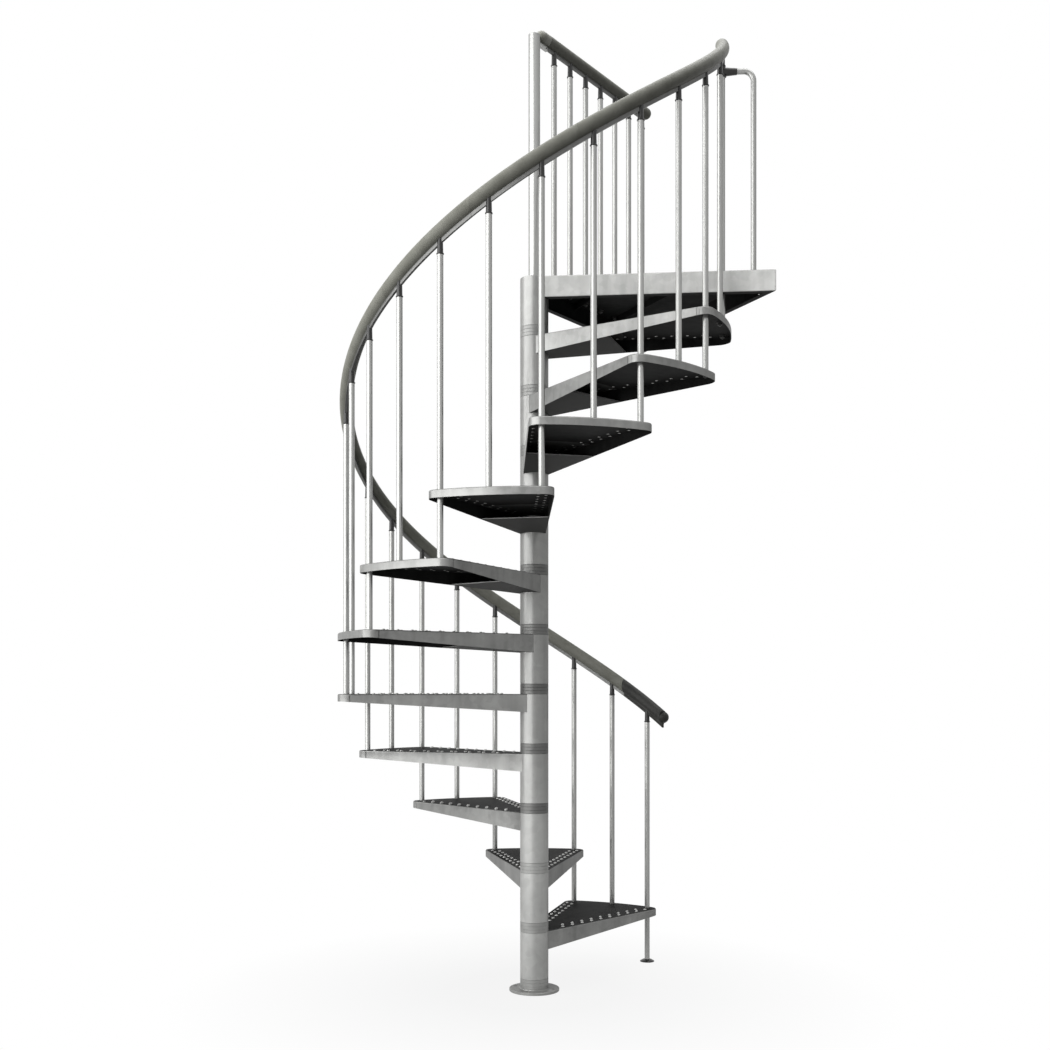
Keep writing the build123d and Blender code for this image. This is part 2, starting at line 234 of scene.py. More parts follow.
def rim_place(step, height=0.0):
    """Place on the circle of the balusters."""
    return polar(BALUSTER_CIRCLE, step_angle(step), height)


def rail_height(step):
    """Height of the middle of the handrail above a baluster place."""
    return RISER * (step / 2 + 1) + RAIL_ABOVE_NOSE


def rail_place(step):
    """Place on the handrail, with X outwards, Y along the climb and Z across it."""
    return rim_place(step, rail_height(step)) @ turn(RAIL_SLOPE, "X")


def tread_place(number):
    """Place of a tread, with its top at its own height."""
    return polar(0, step_angle(2 * number - 1), RISER * number)


def joining_places():
    """Feet of the balusters that tie the front of a tread to the back of the one below."""
    return [rim_place(step, RISER * step / 2) for step in range(2, LAST_STEP + 1, 2)]


def middle_places():
    """Feet of the balusters in the middle of each tread's rim."""
    return [rim_place(step, RISER * (step + 1) / 2) for step in range(1, LAST_STEP, 2)]


def landing_places():
    """Feet of the balusters along one side of the landing."""
    return [polar(LANDING_BALUSTER_FIRST + LANDING_BALUSTER_PITCH * index, LANDING_SIDE, LANDING_TOP)
            for index in range(LANDING_BALUSTER_COUNT)]


# ---- shapes ---------------------------------------------------------------------
def finished(bm):
    """Mesh of a bmesh, with its doubles merged and its faces turned outwards."""
    bmesh.ops.remove_doubles(bm, verts=bm.verts[:], dist=SAME_POINT)
    bmesh.ops.recalc_face_normals(bm, faces=bm.faces[:])
    mesh = bpy.data.meshes.new("shape")
    bm.to_mesh(mesh)
    bm.free()
    return mesh


def moved(mesh, place):
    """Copy of a mesh at a place."""
    copy = mesh.copy()
    copy.transform(place)
    return copy


def joined(meshes):
    """One mesh made of several."""
    bm = bmesh.new()
    for mesh in meshes:
        bm.from_mesh(mesh)
    return finished(bm)


def repeated(mesh, places):
    """One mesh with a copy of a mesh at every place."""
    return joined([moved(mesh, place) for place in places])


def only(kind, items):
    """Those items of what an operator made that are of one kind."""
    return [item for item in items if isinstance(item, kind)]


def close_rims(bm):
    """Puts a face over every open rim."""
    rims = [edge for edge in bm.edges if edge.is_boundary]
    bmesh.ops.holes_fill(bm, edges=rims, sides=0)


def turned(outline, segments):
    """Solid turned about the Z axis. An outline that starts and ends on the axis is open."""
    bm = bmesh.new()
    points = [bm.verts.new((radius, 0, height)) for radius, height in outline]
    pairs = list(zip(points, points[1:]))
    if outline[0][0] > 0:
        pairs.append((points[-1], points[0]))
    edges = [bm.edges.new(pair) for pair in pairs]
    bmesh.ops.spin(bm, geom=points + edges, cent=(0, 0, 0), axis=(0, 0, 1), dvec=(0, 0, 0),
                   angle=2 * pi, steps=segments, use_merge=True)
    return finished(bm)


def tube(radius, bottom, top, segments=BAR_SIDES, rounding=ROUNDING):
    """Upright round bar with softened ends."""
    return turned([(0, bottom), (radius - rounding, bottom), (radius, bottom + rounding),
                   (radius, top - rounding), (radius - rounding, top), (0, top)], segments)


def block(width, length, height, rounding=SMALL_ROUNDING):
    """Box about the origin with softened edges."""
    bm = bmesh.new()
    bmesh.ops.create_cube(bm, size=1)
    bmesh.ops.scale(bm, vec=(width, length, height), verts=bm.verts[:])
    bmesh.ops.bevel(bm, geom=bm.edges[:], offset=rounding, segments=1, profile=0.5,
                    affect="EDGES", material=-1)
    return finished(bm)


def cut(mesh, point, normal):
    """The mesh behind a plane, closed where it is cut."""
    bm = bmesh.new()
    bm.from_mesh(mesh)
    bmesh.ops.bisect_plane(bm, geom=bm.verts[:] + bm.edges[:] + bm.faces[:], plane_co=point,
                           plane_no=normal, clear_outer=True)
    close_rims(bm)
    return finished(bm)


def evaluated(mesh, kind, settings):
    """The mesh with one modifier applied."""
    holder = bpy.data.objects.new("holder", mesh)
    bpy.context.scene.collection.objects.link(holder)
    modifier = holder.modifiers.new(kind, kind)
    for name, value in settings.items():
        setattr(modifier, name, value)
    result = bpy.data.meshes.new_from_object(
        holder.evaluated_get(bpy.context.evaluated_depsgraph_get()))
    bpy.data.objects.remove(holder)
    return result


def hole_cutter(radius, segments):
    """Round cutter for a hole through a sheet at the origin."""
    return tube(radius, -CUTTER_REACH, CUTTER_REACH, segments, CUTTER_ROUNDING)


def drilled(mesh, cutters):
    """The mesh with the shapes of the cutters taken out."""
    helper = bpy.data.objects.new("cutter", joined(cutters))
    bpy.context.scene.collection.objects.link(helper)
    settings = {"operation": "DIFFERENCE", "solver": "EXACT", "object": helper}
    result = evaluated(mesh, "BOOLEAN", settings)
    bpy.data.objects.remove(helper)
    return result


def creased(mesh):
    """The mesh itself, shaded smooth except at its creases."""
    mesh.shade_smooth()
    mesh.set_sharp_from_angle(angle=radians(CREASE))
    return mesh


def flat_shaded(mesh):
    """The mesh with normals that keep its large faces flat beside their bends."""
    return evaluated(creased(mesh), "WEIGHTED_NORMAL", {"keep_sharp": True, "weight": 80})


def piece(name, mesh, material, slot, *nodes):
    """Finished piece of the stair, which may stand for nodes of the frame."""
    mesh.name = name
    mesh.materials.clear()
    mesh.materials.append(material)
    made = bpy.data.objects.new(name, creased(mesh))
    bpy.context.scene.collection.objects.link(made)
    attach(made, "root")
    if nodes:
        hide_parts(*nodes)


# ---- nodes of a finish or of the surroundings -----------------------------------
class Nodes:
    """Node tree with short words for the nodes that are used often. A value is a number or
    the socket of another node."""

    def __init__(self, tree):
        self.tree = tree

    def node(self, kind, settings=None, **inputs):
        """New node, with its settings and with its inputs linked or set."""
        made = self.tree.nodes.new(kind)
        for name, value in (settings or {}).items():
            setattr(made, name, value)
        for name, value in inputs.items():
            socket = made.inputs[int(name[1:])] if name[1:].isdigit() else made.inputs[name]
            if isinstance(value, bpy.types.NodeSocket):
                self.tree.links.new(value, socket)
            else:
                socket.default_value = value
        return made

    def math(self, operation, first, second=0.0):
        """Result of an operation on one or two values."""
        return self.node("ShaderNodeMath", {"operation": operation}, i0=first, i1=second).outputs[0]

    def vector(self, operation, first, second=(0, 0, 0), result="Vector"):
        """Result of an operation on one or two vectors."""
        made = self.node("ShaderNodeVectorMath", {"operation": operation}, i0=first, i1=second)
        return made.outputs[result]

    def level(self, vector):
        """Vector without its upright part."""
        return self.vector("MULTIPLY", vector, (1, 1, 0))

    def upright(self, vector):
        """Upright part of a vector."""
        return self.node("ShaderNodeSeparateXYZ", None, Vector=vector).outputs["Z"]

    def mix(self, factor, low, high):
        """Value between two."""
        return self.node("ShaderNodeMix", {"data_type": "FLOAT"}, i0=factor, i2=low, i3=high).outputs[0]

    def tint(self, factor, low, high):
        """Colour between two."""
        return self.node("ShaderNodeMix", {"data_type": "RGBA"}, i0=factor, i6=low, i7=high).outputs[2]

    def spread(self, value, low, high, start=0.0, end=1.0):
        """A range of a value stretched to another, without going past its ends."""
        return self.node("ShaderNodeMapRange", None, i0=value, i1=low, i2=high, i3=start, i4=end).outputs[0]

    def seen_by(self, *rays):
        """One for rays of these kinds and zero for all others."""
        kinds = self.node("ShaderNodeLightPath").outputs
        seen = kinds[rays[0]]
        for ray in rays[1:]:
            seen = self.math("MAXIMUM", seen, kinds[ray])
        return seen


class Finish(Nodes):
    """Material with one Principled shader."""

    def __init__(self, name, specular=0.5, edge=1.0):
        self.material = bpy.data.materials.new(name)
        self.material.use_nodes = True
        super().__init__(self.material.node_tree)
        self.shader = self.tree.nodes["Principled BSDF"]
        self.shader.inputs["Specular IOR Level"].default_value = specular
        self.shader.inputs["Specular Tint"].default_value = (edge, edge, edge, 1)
        self.coordinates = self.tree.nodes.new("ShaderNodeTexCoord").outputs["Object"]

    def link(self, name, source):
        """Drives one socket of the shader."""
        self.tree.links.new(source, self.shader.inputs[name])

    def scaled(self, x, y, z):
        """Object coordinates stretched along each axis."""
        return self.node("ShaderNodeMapping", None, Vector=self.coordinates, Scale=(x, y, z)).outputs[0]

    def noise(self, scale, detail, vector=None):
        """Cloudy noise between 0 and 1."""
        vector = vector or self.coordinates
        return self.node("ShaderNodeTexNoise", None, Vector=vector, Scale=scale, Detail=detail).outputs["Fac"]

    def crystals(self, per_metre):
        """Random grey of each crystal of a zinc coat."""
        cell = self.node("ShaderNodeTexVoronoi", None, Vector=self.coordinates, Scale=per_metre)
        return self.node("ShaderNodeSeparateColor", None, Color=cell.outputs["Color"]).outputs[0]

    def grain(self, scale, strength, depth):
        """Fine relief all over the surface."""
        relief = self.noise(scale, detail=2.0)
        bump = self.node("ShaderNodeBump", None, Height=relief, Strength=strength, Distance=depth)
        self.link("Normal", bump.outputs[0])


# ---- finishes -------------------------------------------------------------------
WARMTH = 0.02
ZINC_SPECULAR = 0.3
ZINC_EDGE = 0.35
ZINC_METAL = 0.42
SHEET_SPECULAR = 0.03
TUBE_METAL = 0.45
# Heights over which the painted highlight at the foot of the pole fades out.
FOOT_HIGHLIGHT_TO = (0.45, 0.90)
# Heights where the rings' painted shade fades in over their painted highlight at the foot of the pole, and
# where that shade fades out again.
RINGS_SHADE_FROM = (0.50, 0.62)
RINGS_SHADE_TO = (1.80, 2.10)
PAST_CLOSING_PLATE = (0.318, 0.322)


def grey(value):
    """Grey with a little less blue in it."""
    return (value, value * (1 + WARMTH / 4), value * (1 - WARMTH), 1)


def zinc(name, dark, light, rough, crystals_per_metre, foot=1.0):
    """Galvanised steel: soft clouds, faint crystals and long runs from the dip. The foot of the stair can get
    a painted highlight, its coat lighter by a factor."""
    made = Finish(name, ZINC_SPECULAR, ZINC_EDGE)
    crystals = made.crystals(crystals_per_metre)
    clouds = made.noise(scale=9.0, detail=4.0)
    runs = made.noise(scale=14.0, detail=2.0, vector=made.scaled(3, 3, 0.2))
    spangle = made.mix(factor=0.16, low=clouds, high=crystals)
    shade = made.spread(made.mix(factor=0.3, low=spangle, high=runs), 0.25, 0.75)
    coat = made.tint(shade, grey(dark), grey(light))
    if foot != 1.0:
        # Painted highlight: a lighter copy of the coat, which takes over towards the foot.
        bright = made.tint(shade, grey(dark * foot), grey(light * foot))
        coat = made.tint(made.spread(made.upright(made.coordinates), *FOOT_HIGHLIGHT_TO), bright, coat)
    made.link("Base Color", coat)
    made.link("Roughness", made.spread(crystals, 0, 1, rough - 0.03, rough + 0.04))
    made.shader.inputs["Metallic"].default_value = ZINC_METAL
    made.grain(scale=240.0, strength=0.05, depth=0.0004)
    return made.material


def drawn_zinc(name, dark, light, rough):
    """Smooth thin zinc coat of drawn tubes and strips, with long faint upright streaks."""
    made = Finish(name, ZINC_SPECULAR, ZINC_EDGE)
    streaks = made.noise(scale=60.0, detail=2.0, vector=made.scaled(1, 1, 0.03))
    patches = made.noise(scale=5.0, detail=3.0)
    shade = made.spread(made.mix(factor=0.5, low=streaks, high=patches), 0.3, 0.7)
    made.link("Base Color", made.tint(shade, grey(dark), grey(light)))
    made.link("Roughness", made.spread(patches, 0.3, 0.7, rough - 0.03, rough + 0.04))
    made.shader.inputs["Metallic"].default_value = TUBE_METAL
    return made.material


def ring_zinc(name):
    """Coat of the spacer rings, with painted light: a painted highlight makes it lightest at the foot of the
    pole and painted shade darkens its middle.
    """
    made = Finish(name, ZINC_SPECULAR, ZINC_EDGE)
    height = made.upright(made.coordinates)
    above_foot = made.spread(height, *RINGS_SHADE_FROM)
    middle_shade_share = made.mix(made.spread(height, *RINGS_SHADE_TO), above_foot, 0.0)
    shade = made.spread(made.noise(scale=12.0, detail=4.0), 0.3, 0.7)
    # Lighter coat of the rings at the foot of the pole, a painted highlight.
    foot = made.tint(shade, grey(0.25), grey(0.36))
    upper = made.tint(shade, grey(0.20), grey(0.29))
    # Darker coat of the rings in the middle of the pole, painted shade.
    shaded_middle = made.tint(shade, grey(0.12), grey(0.18))
    made.link("Base Color", made.tint(middle_shade_share, made.tint(above_foot, foot, upper), shaded_middle))
    made.link("Roughness", made.spread(shade, 0, 1, 0.33, 0.40))
    made.shader.inputs["Metallic"].default_value = ZINC_METAL
    made.grain(scale=240.0, strength=0.05, depth=0.0004)
    return made.material


def sheet_zinc(name, dark, light, plate):
    """Galvanised tray sheet: bright on the outside of its folded edges, with near-black painted shade on its
    top, on its underside and inside the folds. Its underside next to the pole has a tone of its own."""
    made = Finish(name, SHEET_SPECULAR, ZINC_EDGE)
    crystals = made.crystals(per_metre=52.0)
    clouds = made.noise(scale=7.0, detail=4.0)
    runs = made.noise(scale=30.0, detail=2.0, vector=made.scaled(1, 1, 0.12))
    spangle = made.mix(factor=0.14, low=clouds, high=crystals)
    shade = made.spread(made.mix(factor=0.35, low=spangle, high=runs), 0.33, 0.67)
    outside = made.tint(shade, grey(dark), grey(light))
    # Painted shade: the near-black tone of the top, the underside and the inner faces of the folds.
    inside = made.tint(shade, grey(0.010), grey(0.024))

    surface = made.node("ShaderNodeNewGeometry").outputs
    facing_up = made.upright(surface["Normal"])
    facing_out = made.vector("DOT_PRODUCT", made.level(surface["True Normal"]), made.coordinates, "Value")
    inner = made.spread(facing_out, -0.01, 0.01, 1.0, 0.0)
    # Share of the painted shade: faces that face inwards, up or down.
    flat = made.math("MAXIMUM", inner, made.spread(made.math("ABSOLUTE", facing_up), 0.55, 0.95))

    radius = made.vector("LENGTH", made.level(made.coordinates), result="Value")
    near_pole = made.spread(radius, *PAST_CLOSING_PLATE, 1.0, 0.0)
    underside = made.spread(facing_up, -0.95, -0.90, 1.0, 0.0)
    # Next to the pole the underside gets a tone of its own in place of the painted shade.
    inside = made.tint(made.math("MULTIPLY", near_pole, underside), inside, grey(plate))
    made.link("Base Color", made.tint(flat, outside, inside))
    made.link("Metallic", made.mix(flat, ZINC_METAL, 0.0))
    made.link("Roughness", made.mix(flat, made.spread(crystals, 0, 1, 0.28, 0.36), 0.62))
    made.grain(scale=220.0, strength=0.06, depth=0.0004)
    return made.material


def satin(name, dark, light, rough, specular):
    """Satin paint or plastic with a faint mottle."""
    made = Finish(name, specular)
    shade = made.spread(made.noise(scale=24.0, detail=4.0), 0.3, 0.7)
    sheen = made.noise(scale=60.0, detail=2.0)
    made.link("Base Color", made.tint(shade, (*dark, 1), (*light, 1)))
    made.link("Roughness", made.spread(sheen, 0.3, 0.7, rough - 0.05, rough + 0.05))
    made.grain(scale=500.0, strength=0.05, depth=0.0003)
    return made.material


BASE_ZINC = zinc("base_zinc", dark=0.24, light=0.36, rough=0.32, crystals_per_metre=44.0)
# The pole's coat is 1.3 times lighter at its foot, a painted highlight.
POLE_ZINC = zinc("pole_zinc", dark=0.24, light=0.36, rough=0.32, crystals_per_metre=44.0, foot=1.30)
RING_ZINC = ring_zinc("ring_zinc")
TUBE_ZINC = drawn_zinc("tube_zinc", dark=0.36, light=0.45, rough=0.18)
# The studs are painted lighter than the sheet they are pressed from, a painted highlight.
STUD_LIT_ZINC = zinc("stud_lit_zinc", dark=0.40, light=0.56, rough=0.30, crystals_per_metre=200.0)
NUT_ZINC = zinc("nut_zinc", dark=0.05, light=0.09, rough=0.34, crystals_per_metre=160.0)
TAB_ZINC = zinc("tab_zinc", dark=0.50, light=0.60, rough=0.30, crystals_per_metre=120.0)
STRIP_ZINC = drawn_zinc("strip_zinc", dark=0.13, light=0.18, rough=0.32)
TRAY_ZINC = sheet_zinc("tray_zinc", dark=0.21, light=0.34, plate=0.085)
# The landing's sheet is a lighter copy of the trays' sheet, a painted highlight.
LANDING_LIT_ZINC = sheet_zinc("landing_lit_zinc", dark=0.38, light=0.56, plate=0.018)
RAIL_GREY = satin("rail_grey", dark=(0.146, 0.147, 0.127), light=(0.186, 0.187, 0.165),
                  rough=0.40, specular=0.06)
RAIL_DARK = satin("rail_dark", dark=(0.030, 0.030, 0.028), light=(0.042, 0.042, 0.039),
                  rough=0.38, specular=0.12)
CAP_GREY = satin("cap_grey", dark=(0.150, 0.151, 0.125), light=(0.190, 0.191, 0.162),
                 rough=0.40, specular=0.6)
FITTING_GREY = satin("fitting_grey", dark=(0.010, 0.010, 0.010), light=(0.019, 0.019, 0.018),
                     rough=0.30, specular=0.4)


# ---- base and pole --------------------------------------------------------------
def weld():
    """Fillet weld round the pole on the base flange, its root inside both."""
    outline = [(-WELD_IN_POLE, -WELD_IN_FLANGE), (WELD_WIDTH, -WELD_IN_FLANGE), WELD_BELLY,
               (0, WELD_HEIGHT), (-WELD_IN_POLE, WELD_HEIGHT)]
    return turned([(HUB_RADIUS + out, FLANGE_THICKNESS + up) for out, up in outline], POLE_SIDES)


def base_flange():
    """Round plate with four anchor holes and a weld round the pole."""
    plate = tube(FLANGE_RADIUS, 0, FLANGE_THICKNESS, POLE_SIDES, FLANGE_ROUNDING)
    cutter = tube(ANCHOR_HOLE_RADIUS, -FLANGE_THICKNESS, 2 * FLANGE_THICKNESS)
    angles = [360 / ANCHOR_COUNT * (index + 0.5) for index in range(ANCHOR_COUNT)]
    holes = [moved(cutter, polar(ANCHOR_CIRCLE, angle)) for angle in angles]
    return joined([drilled(plate, holes), weld()])


def spacer_levels():
    """Heights at which a spacer stands: on the flange and on every hub but the last."""
    return [FLANGE_THICKNESS] + [RISER * number for number in range(1, TREAD_COUNT + 1)]


def hubs():
    """Lengths of pole tube, each between a spacer and the next tread or the landing."""
    return joined([tube(HUB_RADIUS, level + SPACER_HEIGHT, RISER * number, POLE_SIDES, HUB_ROUNDING)
                   for number, level in enumerate(spacer_levels(), start=1)])


def spacer(level):
    """Stack of rings with grooves between them."""
    joints = [level + SPACER_HEIGHT / SPACER_RINGS * index for index in range(SPACER_RINGS + 1)]
    return joined([tube(HUB_RADIUS, bottom, top, POLE_SIDES, RING_ROUNDING)
                   for bottom, top in zip(joints, joints[1:])])


def pole():
    """Base flange, hubs and spacers."""
    piece("base_plate", base_flange(), BASE_ZINC, "galvanised_pole", "base_flange")
    piece("pole_tubes", hubs(), POLE_ZINC, "galvanised_pole", "pole_hubs")
    spacers = joined([spacer(level) for level in spacer_levels()])
    piece("pole_spacers", spacers, RING_ZINC, "galvanised_pole", "spacer_rings")


# ---- sheets and their folds -----------------------------------------------------
def edge_point(side, half_angle, along, out, height=0.0):
    """Point on a line outside one radial side of a wedge about +X."""
    return turn(side * half_angle) @ Vector((along, side * out, height))


def hub_side(out):
    """Distance along a side line at which it meets the pole."""
    return sqrt(HUB_RADIUS ** 2 - out ** 2)


def wedge_corners(half_angle, distance, out):
    """Corners of a plate about +X with straight sides, from the pole round by its far edge."""
    lean = radians(half_angle)
    reach = (distance + out * sin(lean)) / cos(lean)
    near = hub_side(out)
    return [edge_point(side, half_angle, along, out)
            for side, along in ((-1, near), (-1, reach), (1, reach), (1, near))]


def arc(bm, start, centre, angle, steps):
    """Chain of edges turned from a vertex about an upright axis. Gives its last vertex."""
    made = bmesh.ops.spin(bm, geom=[start], cent=centre, axis=(0, 0, 1), dvec=(0, 0, 0),
                          angle=radians(angle), steps=steps, use_merge=False)
    return only(bmesh.types.BMVert, made["geom_last"])[0]


def close_at_hub(bm, last, first):
    """Hollow arc round the pole that closes an outline, and the face inside it, facing up."""
    sweep = degrees(atan2(first.co.y, first.co.x) - atan2(last.co.y, last.co.x))
    arc(bm, last, (0, 0, 0), sweep, HUB_ARC_STEPS)
    bmesh.ops.remove_doubles(bm, verts=bm.verts[:], dist=ARC_CLOSURE)
    bmesh.ops.edgeloop_fill(bm, edges=bm.edges[:])
    if bm.faces[:][0].normal.z < 0:
        bmesh.ops.reverse_faces(bm, faces=bm.faces[:])


def wedge_plan(corners):
    """Face of a plate with straight sides and a hollow round the pole."""
    bm = bmesh.new()
    verts = [bm.verts.new(corner) for corner in corners]
    for pair in zip(verts, verts[1:]):
        bm.edges.new(pair)
    close_at_hub(bm, verts[-1], verts[0])
    return bm


def off_hub(bm):
    """Outline edges that don't run round the pole."""
    return [edge for edge in bm.edges
            if any(vert.co.xy.length > HUB_RADIUS + ON_HUB for vert in edge.verts)]


def drawn_on(bm, edges, way=(0, 0, 0)):
    """Draws edges on by a distance. Gives the new vertices and edges."""
    made = bmesh.ops.extrude_edge_only(bm, edges=edges)["geom"]
    verts = only(bmesh.types.BMVert, made)
    bmesh.ops.translate(bm, vec=way, verts=verts)
    return verts, only(bmesh.types.BMEdge, made)


def face_up(bm):
    """Turns the faces of an open shell so that its top faces up."""
    bmesh.ops.recalc_face_normals(bm, faces=bm.faces[:])
    top = max(bm.faces, key=lambda face: face.calc_area())
    if top.normal.z < 0:
        bmesh.ops.reverse_faces(bm, faces=bm.faces[:])


def folded(bm, bends):
    """Sheet of one thickness from an open shell whose bends are rounded first."""
    bmesh.ops.bevel(bm, geom=bends, offset=BEND, segments=BEND_STEPS, profile=0.5,
                    affect="EDGES", material=-1)
    mesh = bpy.data.meshes.new("shell")
    bm.to_mesh(mesh)
    bm.free()
    return evaluated(mesh, "SOLIDIFY", {"thickness": SHEET, "offset": -1, "use_even_offset": True})


# ---- treads ---------------------------------------------------------------------
def tread_plan():
    """Top of a tread about +X: two straight sides, rounded corners and the rim."""
    half = TREAD_ANGLE / 2
    inside = EDGE_OVERHANG - CORNER_RADIUS
    along = sqrt((STAIR_RADIUS - CORNER_RADIUS) ** 2 - inside ** 2)
    lead = degrees(atan2(inside, along))
    bm = bmesh.new()
    first = bm.verts.new(edge_point(-1, half, hub_side(EDGE_OVERHANG), EDGE_OVERHANG))
    front = bm.verts.new(edge_point(-1, half, along, EDGE_OVERHANG))
    bm.edges.new((first, front))
    corner = arc(bm, front, edge_point(-1, half, along, inside), 90 - lead, CORNER_STEPS)
    rim = arc(bm, corner, (0, 0, 0), 2 * (half + lead), RIM_STEPS)
    back = arc(bm, rim, edge_point(1, half, along, inside), 90 - lead, CORNER_STEPS)
    last = bm.verts.new(edge_point(1, half, hub_side(EDGE_OVERHANG), EDGE_OVERHANG))
    bm.edges.new((back, last))
    close_at_hub(bm, last, first)
    return bm


def flange_depth(x):
    """Depth of the side flanges, which taper towards the rim."""
    share = min(x / (STAIR_RADIUS - CORNER_RADIUS), 1)
    return TREAD_DEPTH_AT_HUB + (TREAD_DEPTH_AT_RIM - TREAD_DEPTH_AT_HUB) * share


def tread_shell():
    """Top, side flanges and rim of a tread as one folded sheet."""
    bm = tread_plan()
    bends = off_hub(bm)
    lower, _ = drawn_on(bm, bends)
    for vert in lower:
        vert.co.z = -flange_depth(vert.co.x)
    face_up(bm)
    return folded(bm, bends)


def closing_plate():
    """Sloping plate that closes the tray between its flanges next to the pole."""
    bm = wedge_plan(wedge_corners(TREAD_ANGLE / 2, CLOSING_PLATE_REACH, EDGE_OVERHANG - SHEET))
    for vert in bm.verts:
        vert.co.z = SHEET - flange_depth(vert.co.x)
    made = bmesh.ops.extrude_face_region(bm, geom=bm.faces[:])["geom"]
    bmesh.ops.translate(bm, vec=(0, 0, -SHEET), verts=only(bmesh.types.BMVert, made))
    return finished(bm)


def stud_places():
    """Places of the pressed studs along both edges of a tread about +X."""
    places = []
    for side in (-1, 1):
        for row, inset in enumerate(STUD_ROWS):
            for index in range(STUDS_IN_ROW - row):
                along = STUD_FIRST + STUD_PITCH * (index + row / 2)
                point = edge_point(side, TREAD_ANGLE / 2, along, EDGE_OVERHANG - inset)
                places.append(Matrix.Translation(point))
    return places


def stud():
    """Pressed stud with a hole through it, dished underneath."""
    crown = [(0.0062, 0.0002), (0.0051, 0.0024), (0.0038, 0.0037), (0.0027, 0.0035)]
    hole = [(0.0021, 0.0022), (0.0021, 0.0012)]
    dish = [(0.0032, 0.0004), (0.0050, -0.0028), (0.0059, -0.0030)]
    return turned(crown + hole + dish, STUD_SIDES)


def rim_seams():
    """Cutters for the seams where the two ends of the rim band meet the side flanges."""
    half = TREAD_ANGLE / 2
    groove = block(SEAM_WIDTH, SEAM_CUT, SEAM_HEIGHT, CUTTER_ROUNDING)
    cutters = []
    for side in (-1, 1):
        point = edge_point(side, half, SEAM_ALONG, EDGE_OVERHANG, SEAM_MIDDLE)
        cutters.append(moved(groove, Matrix.Translation(point) @ turn(side * half)))
    return cutters


def tread():
    """One tread about +X with its top at zero."""
    cutter = hole_cutter(STUD_CUTTER_RADIUS, STUD_SIDES)
    holes = [moved(cutter, place) for place in stud_places()]
    return flat_shaded(joined([drilled(tread_shell(), holes + rim_seams()), closing_plate()]))


def treads():
    """The eleven trays, and the studs on all of them."""
    template = tread()
    places = [tread_place(number) for number in range(1, TREAD_COUNT + 1)]
    for number, place in enumerate(places, start=1):
        tray = moved(template, place)
        piece(f"tray_{number:02d}", tray, TRAY_ZINC, "galvanised_sheet", f"tread_{number:02d}")
    studs = repeated(stud(), [place @ spot for place in places for spot in stud_places()])
    piece("tread_studs", studs, STUD_LIT_ZINC, "galvanised_sheet")


# ---- landing --------------------------------------------------------------------
def landing_corners(inset):
    """Corners of the landing, or of a line inside its edge."""
    return wedge_corners(LANDING_SIDE, LANDING_EDGE - inset, EDGE_OVERHANG - inset)


def landing_shell():
    """Landing top with deep folded edges and return lips."""
    bm = wedge_plan(landing_corners(0))
    _, folds = drawn_on(bm, off_hub(bm), (0, 0, -LANDING_DEPTH))
    lip, _ = drawn_on(bm, folds)
    targets = landing_corners(LANDING_LIP)
    for vert in lip:
        near = min(targets, key=lambda point: (point.xy - vert.co.xy).length)
        vert.co.xy = near.xy
    face_up(bm)
    inner = [edge for edge in bm.edges if len(edge.link_faces) == 2]
    return folded(bm, [edge for edge in inner if edge.calc_face_angle() > radians(CREASE)])


def landing_rib(distance):
    """Flat stiffener across the underside of the landing."""
    stock = block(SHEET, RIB_UNCUT, LANDING_RIB, SHEET_ROUNDING)
    bar = moved(stock, shift(distance, 0, -SHEET - LANDING_RIB / 2))
    for side in (-1, 1):
        normal = turn(side * LANDING_SIDE) @ Vector((0, side, 0))
        bar = cut(bar, edge_point(side, LANDING_SIDE, 0, EDGE_OVERHANG - SHEET), normal)
    return bar


def wall_hole(side):
    """Cutter for a bolt hole through the far edge of the landing."""
    place = shift(LANDING_EDGE, side * WALL_HOLE_SPACING / 2, -WALL_HOLE_BELOW_TOP)
    return moved(hole_cutter(WALL_HOLE_RADIUS, BAR_SIDES), place @ turn(90, "Y"))


def landing():
    """Landing tray with its stiffeners and bolt holes."""
    ribs = [landing_rib(LANDING_EDGE * share) for share in LANDING_RIB_SHARES]
    shell = drilled(landing_shell(), [wall_hole(-1), wall_hole(1)])
    tray = flat_shaded(moved(joined([shell] + ribs), shift(0, 0, LANDING_TOP)))
    piece("landing_tray", tray, LANDING_LIT_ZINC, "galvanised_sheet", "landing")


# ---- balusters and post ---------------------------------------------------------
def nut():
    """Washer and nut under a sheet, on the threaded end of a baluster."""
    seat = -SHEET - WASHER_HEIGHT
    end = seat - NUT_HEIGHT
    washer = tube(WASHER_RADIUS, seat, -SHEET, FITTING_SIDES, SHEET_ROUNDING)
    hexagon = tube(NUT_RADIUS, end, seat, NUT_SIDES, NUT_CHAMFER)
    thread = tube(THREAD_RADIUS, end - THREAD_PROUD, end + THREAD_IN_NUT, STUD_SIDES, THREAD_CHAMFER)
    return joined([washer, hexagon, thread])


